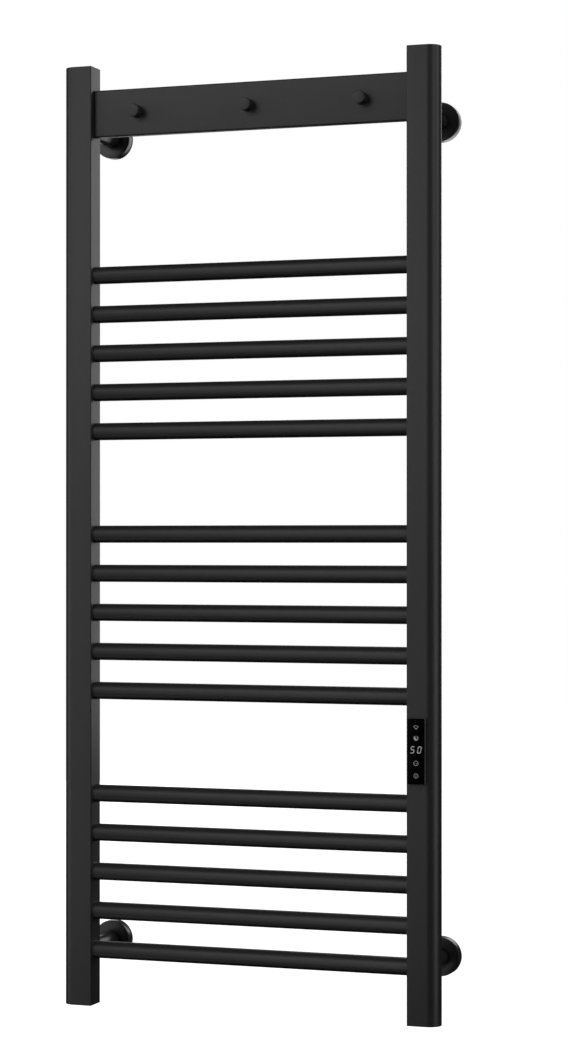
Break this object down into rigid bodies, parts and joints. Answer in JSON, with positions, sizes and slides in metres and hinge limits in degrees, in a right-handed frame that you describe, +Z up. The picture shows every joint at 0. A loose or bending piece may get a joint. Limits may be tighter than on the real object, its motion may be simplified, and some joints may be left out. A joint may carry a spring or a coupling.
{
  "type": "towel warmer rack",
  "caption": "Wall-hung electric towel warmer: two D-shaped uprights, grouped round rungs, a flat top rail with pegs and a touch control.",
  "frame": {"origin": "centre of the four wall fixings, on the wall plane", "axes": "+X to the right seen from the room, -Y out from the wall into the room, +Z up"},
  "size_m": [0.5, 0.12, 1.2],
  "materials": {
    "powder_coat": "fine matt black powder coat",
    "cap_plastic": "matt black moulded plastic",
    "control_glass": "black back-printed glass",
    "zinc_steel": "zinc plated",
    "sensor_steel": "drawn stainless sleeve",
    "rubber_black": "matt moulded rubber",
    "silicone_red": "satin silicone jacket",
    "circuit_board": "solder mask on glass fibre",
    "display_grey": "satin potted display",
    "terminal_white": "moulded nylon"
  },
  "bodies": {
    "rack": {"left_upright": "powder_coat", "cap_bottom_left": "cap_plastic", "cap_top_left": "cap_plastic", "right_upright": "powder_coat", "cap_bottom_right": "cap_plastic", "cap_top_right": "cap_plastic", "rung_01": "powder_coat", "rung_02": "powder_coat", "rung_03": "powder_coat", "rung_04": "powder_coat", "rung_05": "powder_coat", "rung_06": "powder_coat", "rung_07": "powder_coat", "rung_08": "powder_coat", "rung_09": "powder_coat", "rung_10": "powder_coat", "rung_11": "powder_coat", "rung_12": "powder_coat", "rung_13": "powder_coat", "rung_14": "powder_coat", "rung_15": "powder_coat", "top_rail": "powder_coat", "peg_left": "powder_coat", "peg_stud_left": "zinc_steel", "peg_middle": "powder_coat", "peg_stud_middle": "zinc_steel", "peg_right": "powder_coat", "peg_stud_right": "zinc_steel", "stem_lower_left": "powder_coat", "stem_stud_lower_left": "zinc_steel", "grub_screw_lower_left": "zinc_steel", "wall_flange_lower_left": "zinc_steel", "stem_upper_left": "powder_coat", "stem_stud_upper_left": "zinc_steel", "grub_screw_upper_left": "zinc_steel", "wall_flange_upper_left": "zinc_steel", "stem_lower_right": "powder_coat", "stem_stud_lower_right": "zinc_steel", "grub_screw_lower_right": "zinc_steel", "wall_flange_lower_right": "zinc_steel", "stem_upper_right": "powder_coat", "stem_stud_upper_right": "zinc_steel", "grub_screw_upper_right": "zinc_steel", "wall_flange_upper_right": "zinc_steel", "supply_grommet": "rubber_black", "control_housing": "cap_plastic", "control_glass": "control_glass", "control_board": "circuit_board", "display_module": "display_grey", "terminal_block": "terminal_white", "temperature_sensor": "sensor_steel", "heating_cable": "silicone_red"},
    "rosette_lower_left": {"rosette_lower_left": "powder_coat"},
    "rosette_upper_left": {"rosette_upper_left": "powder_coat"},
    "rosette_lower_right": {"rosette_lower_right": "powder_coat"},
    "rosette_upper_right": {"rosette_upper_right": "powder_coat"}
  },
  "joints": [
    {"name": "rosette_slide_lower_left", "type": "slide", "parent": "rack", "child": "rosette_lower_left", "axis": [0, -1, 0], "range_m": [0, 0.06]},
    {"name": "rosette_slide_upper_left", "type": "slide", "parent": "rack", "child": "rosette_upper_left", "axis": [0, -1, 0], "range_m": [0, 0.06]},
    {"name": "rosette_slide_lower_right", "type": "slide", "parent": "rack", "child": "rosette_lower_right", "axis": [0, -1, 0], "range_m": [0, 0.06]},
    {"name": "rosette_slide_upper_right", "type": "slide", "parent": "rack", "child": "rosette_upper_right", "axis": [0, -1, 0], "range_m": [0, 0.06]}
  ]
}
